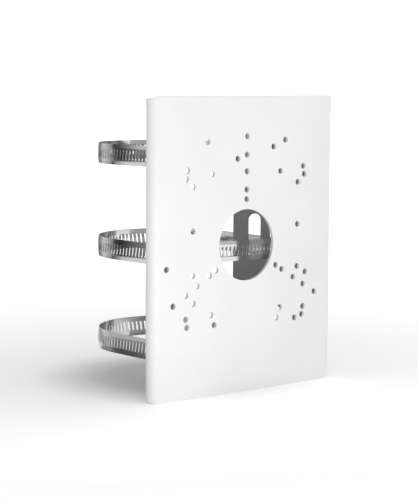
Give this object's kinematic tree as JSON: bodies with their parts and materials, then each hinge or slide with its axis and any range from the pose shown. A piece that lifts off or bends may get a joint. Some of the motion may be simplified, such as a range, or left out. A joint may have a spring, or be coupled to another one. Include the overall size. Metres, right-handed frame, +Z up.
{
  "type": "camera pole mount bracket",
  "caption": "White folded-sheet bracket that carries a camera base on a pole, with three stainless worm-drive band clamps threaded through its wing slots.",
  "frame": {"origin": "centre of the bounding box in X and Y, on the surface that the lower edge stands on", "axes": "+Z up along the pole, +X to the right across the plate, +Y from the camera face towards the pole"},
  "size_m": [0.148, 0.1236, 0.184],
  "materials": {
    "powder_coat": "fine-textured matt white powder coat",
    "band_steel": "bright rolled stainless",
    "pressing_steel": "pressed stainless, satin",
    "screw_steel": "bright zinc-plated"
  },
  "bodies": {
    "bracket": {"mounting_plate": "powder_coat"},
    "top_clamp": {"top_clamp_band": "band_steel", "top_clamp_housing": "pressing_steel", "top_clamp_saddle": "pressing_steel"},
    "top_worm": {"top_clamp_screw": "screw_steel"},
    "middle_clamp": {"middle_clamp_band": "band_steel", "middle_clamp_housing": "pressing_steel", "middle_clamp_saddle": "pressing_steel"},
    "middle_worm": {"middle_clamp_screw": "screw_steel"},
    "bottom_clamp": {"bottom_clamp_band": "band_steel", "bottom_clamp_housing": "pressing_steel", "bottom_clamp_saddle": "pressing_steel"},
    "bottom_worm": {"bottom_clamp_screw": "screw_steel"}
  },
  "joints": [
    {"name": "top_clamp_slide", "type": "slide", "parent": "bracket", "child": "top_clamp", "axis": [0, 0, 1], "range_m": [0, 0.014]},
    {"name": "top_worm_turn", "type": "hinge", "parent": "top_clamp", "child": "top_worm", "pos_m": [0.0382, 0.04974, 0.14625], "axis": [0.6691, -0.7431, 0], "continuous": true},
    {"name": "middle_clamp_slide", "type": "slide", "parent": "bracket", "child": "middle_clamp", "axis": [0, 0, 1], "range_m": [0, 0.014]},
    {"name": "middle_worm_turn", "type": "hinge", "parent": "middle_clamp", "child": "middle_worm", "pos_m": [0.0382, 0.04974, 0.08575], "axis": [0.6691, -0.7431, 0], "continuous": true},
    {"name": "bottom_clamp_slide", "type": "slide", "parent": "bracket", "child": "bottom_clamp", "axis": [0, 0, 1], "range_m": [0, 0.014]},
    {"name": "bottom_worm_turn", "type": "hinge", "parent": "bottom_clamp", "child": "bottom_worm", "pos_m": [0.0382, 0.04974, 0.02525], "axis": [0.6691, -0.7431, 0], "continuous": true}
  ]
}
